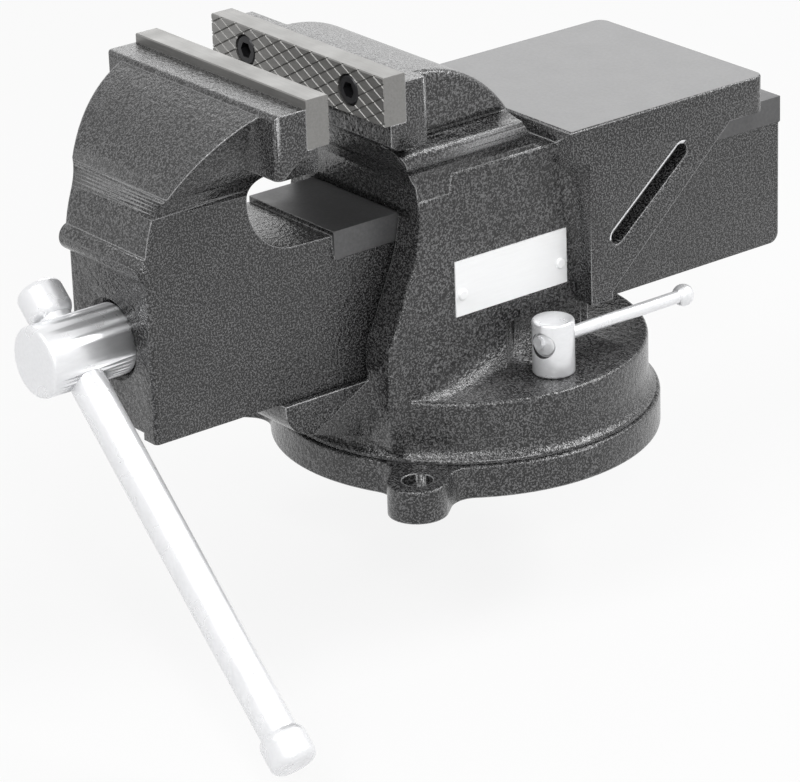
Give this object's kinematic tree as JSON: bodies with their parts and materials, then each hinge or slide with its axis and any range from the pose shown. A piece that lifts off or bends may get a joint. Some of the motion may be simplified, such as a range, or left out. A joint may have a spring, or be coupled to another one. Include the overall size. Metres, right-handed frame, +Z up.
{
  "type": "swivel bench vise",
  "caption": "Cast-iron bench vise on a swivel base, with a sliding movable jaw, serrated jaw plates, an anvil, a screw with a sliding tommy bar and clamp nuts for the swivel.",
  "frame": {"origin": "on the swivel axis at the underside of the base, where it rests on the bench", "axes": "+Z up along the swivel axis, -Y towards the screw's head and handle, +Y towards the anvil, +X towards the side with the blank plate"},
  "size_m": [0.305, 0.4877, 0.3091],
  "materials": {
    "casting": "dark grey hammered enamel with fine silvery flecks, glossy",
    "ground_steel": "ground hardened steel, satin",
    "bright_steel": "bright zinc-plated steel, satin to glossy",
    "black_steel": "black oxide",
    "raw_iron": "bare iron",
    "blank_plate": "satin aluminium, bare"
  },
  "bodies": {
    "base": {"swivel_base": "casting"},
    "body": {"vise_body": "casting", "nameplate": "blank_plate", "nameplate_rivets": "blank_plate", "fixed_jaw_plate": "ground_steel", "fixed_jaw_screws": "black_steel", "spindle_nut": "raw_iron", "nut_bolts": "black_steel", "lock_bolts": "bright_steel"},
    "moving_jaw": {"movable_jaw": "casting", "movable_jaw_plate": "ground_steel", "movable_jaw_screws": "black_steel"},
    "screw": {"spindle": "bright_steel", "thrust_washers": "bright_steel", "jaw_spring": "black_steel", "split_pin": "bright_steel"},
    "handle": {"handle_bar": "bright_steel", "handle_stop": "bright_steel", "handle_end": "bright_steel"},
    "lock_right": {"lock_nut_right": "bright_steel", "lock_bar_right": "bright_steel", "lock_knob_right": "bright_steel"},
    "lock_left": {"lock_nut_left": "bright_steel", "lock_bar_left": "bright_steel", "lock_knob_left": "bright_steel"}
  },
  "joints": [
    {"name": "swivel", "type": "hinge", "parent": "base", "child": "body", "pos_m": [0, 0, 0.03], "axis": [0, 0, 1], "continuous": true},
    {"name": "jaw_slide", "type": "slide", "parent": "body", "child": "moving_jaw", "axis": [0, 1, 0], "range_m": [-0.115, 0.035]},
    {"name": "spindle_spin", "type": "hinge", "parent": "moving_jaw", "child": "screw", "pos_m": [0, -0.2, 0.1126], "axis": [0, 1, 0], "range_deg": [-8300, 2540]},
    {"name": "handle_slide", "type": "slide", "parent": "screw", "child": "handle", "axis": [-0.7337, 0, 0.6794], "range_m": [0, 0.209]},
    {"name": "lock_right_turn", "type": "hinge", "parent": "body", "child": "lock_right", "pos_m": [0.0785, 0, 0.065], "axis": [0, 0, 1], "range_deg": [-180, 0]},
    {"name": "lock_left_turn", "type": "hinge", "parent": "body", "child": "lock_left", "pos_m": [-0.0785, 0, 0.065], "axis": [0, 0, 1], "range_deg": [0, 180]}
  ],
  "couplings": [
    {"joint": "spindle_spin", "follows": "jaw_slide", "rad_per_m": 1256.6}
  ]
}
